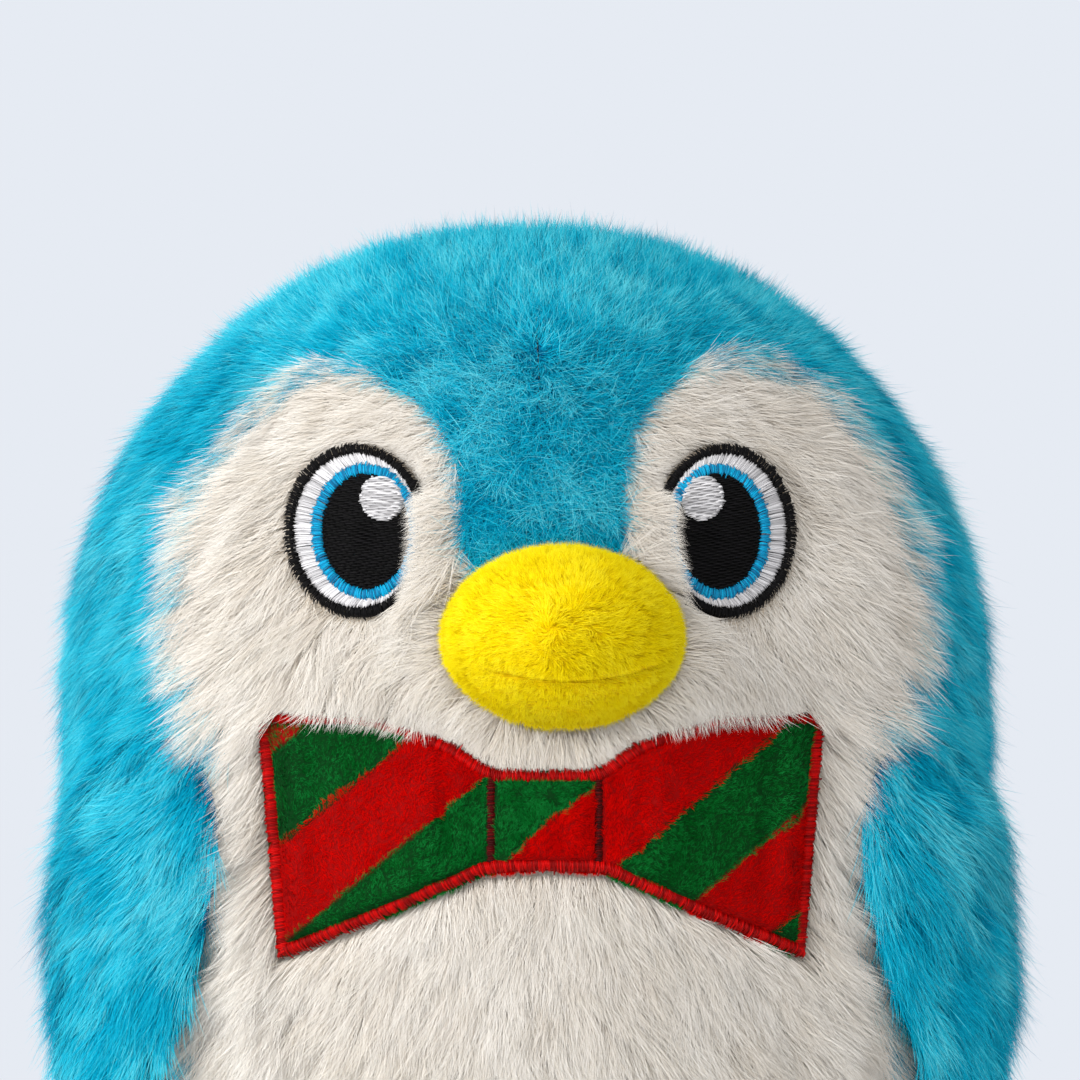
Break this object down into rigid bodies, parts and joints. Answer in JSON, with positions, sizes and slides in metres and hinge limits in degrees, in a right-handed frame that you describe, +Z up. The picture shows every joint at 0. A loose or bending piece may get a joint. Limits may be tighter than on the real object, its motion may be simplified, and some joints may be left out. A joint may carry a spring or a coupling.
{
  "type": "plush penguin",
  "caption": "Standing plush penguin: long-pile fur body, sewn beak, embroidered eyes, applique bow tie, and flippers, feet and tail that hinge at their seams.",
  "frame": {"origin": "centre of the base on the floor, in the middle of the bounding box", "axes": "+Z up, the penguin faces -Y, +X is to the right seen from the front"},
  "size_m": [0.1895, 0.2099, 0.232],
  "materials": {
    "blue_fur": "matte",
    "white_fur": "matte",
    "yellow_plush": "matte",
    "filling": "matte",
    "pouch_cloth": "matte",
    "black_thread": "satin",
    "white_thread": "satin",
    "blue_thread": "satin",
    "bow_fabric": "matte",
    "red_thread": "satin",
    "label_ribbon": "satin"
  },
  "bodies": {
    "body": {"hood_left": "blue_fur", "hood_right": "blue_fur", "back_left": "blue_fur", "back_right": "blue_fur", "face_left": "white_fur", "face_right": "white_fur", "belly_panel": "white_fur", "base_panel": "blue_fur", "body_stuffing": "filling", "pellet_pouch": "pouch_cloth", "beak_upper": "yellow_plush", "beak_lower": "yellow_plush", "beak_stuffing": "filling", "eye_outline_left": "black_thread", "eye_white_left": "white_thread", "eye_iris_left": "blue_thread", "eye_pupil_left": "black_thread", "eye_highlight_left": "white_thread", "eye_outline_right": "black_thread", "eye_white_right": "white_thread", "eye_iris_right": "blue_thread", "eye_pupil_right": "black_thread", "eye_highlight_right": "white_thread", "bow_tie_fabric": "bow_fabric", "bow_border_stitching": "red_thread", "bow_knot_stitch_left": "red_thread", "bow_knot_stitch_right": "red_thread"},
    "left_flipper": {"flipper_outer_left": "blue_fur", "flipper_inner_left": "blue_fur", "flipper_stuffing_left": "filling"},
    "right_flipper": {"flipper_outer_right": "blue_fur", "flipper_inner_right": "blue_fur", "flipper_stuffing_right": "filling"},
    "left_foot": {"foot_top_left": "yellow_plush", "foot_sole_left": "yellow_plush", "foot_stuffing_left": "filling"},
    "right_foot": {"foot_top_right": "yellow_plush", "foot_sole_right": "yellow_plush", "foot_stuffing_right": "filling"},
    "tail": {"tail_upper": "blue_fur", "tail_under": "blue_fur"},
    "label": {"care_label": "label_ribbon"}
  },
  "joints": [
    {"name": "left_flipper_hinge", "type": "hinge", "parent": "body", "child": "left_flipper", "pos_m": [-0.07724, -0.04807, 0.13], "axis": [-0.6542, 0.7563, 0], "range_deg": [0, 85]},
    {"name": "right_flipper_hinge", "type": "hinge", "parent": "body", "child": "right_flipper", "pos_m": [0.07724, -0.04807, 0.13], "axis": [-0.6542, -0.7563, 0], "range_deg": [0, 85]},
    {"name": "left_foot_hinge", "type": "hinge", "parent": "body", "child": "left_foot", "pos_m": [-0.037, -0.0575, 0.012], "axis": [-1, 0, 0], "range_deg": [0, 25]},
    {"name": "right_foot_hinge", "type": "hinge", "parent": "body", "child": "right_foot", "pos_m": [0.037, -0.0575, 0.012], "axis": [-1, 0, 0], "range_deg": [0, 25]},
    {"name": "tail_hinge", "type": "hinge", "parent": "body", "child": "tail", "pos_m": [0, 0.072, 0.032], "axis": [1, 0, 0], "range_deg": [0, 35]},
    {"name": "label_hinge", "type": "hinge", "parent": "body", "child": "label", "pos_m": [-0.07712, 0.024, 0.026], "axis": [0, 0, 1], "range_deg": [-50, 50]}
  ]
}
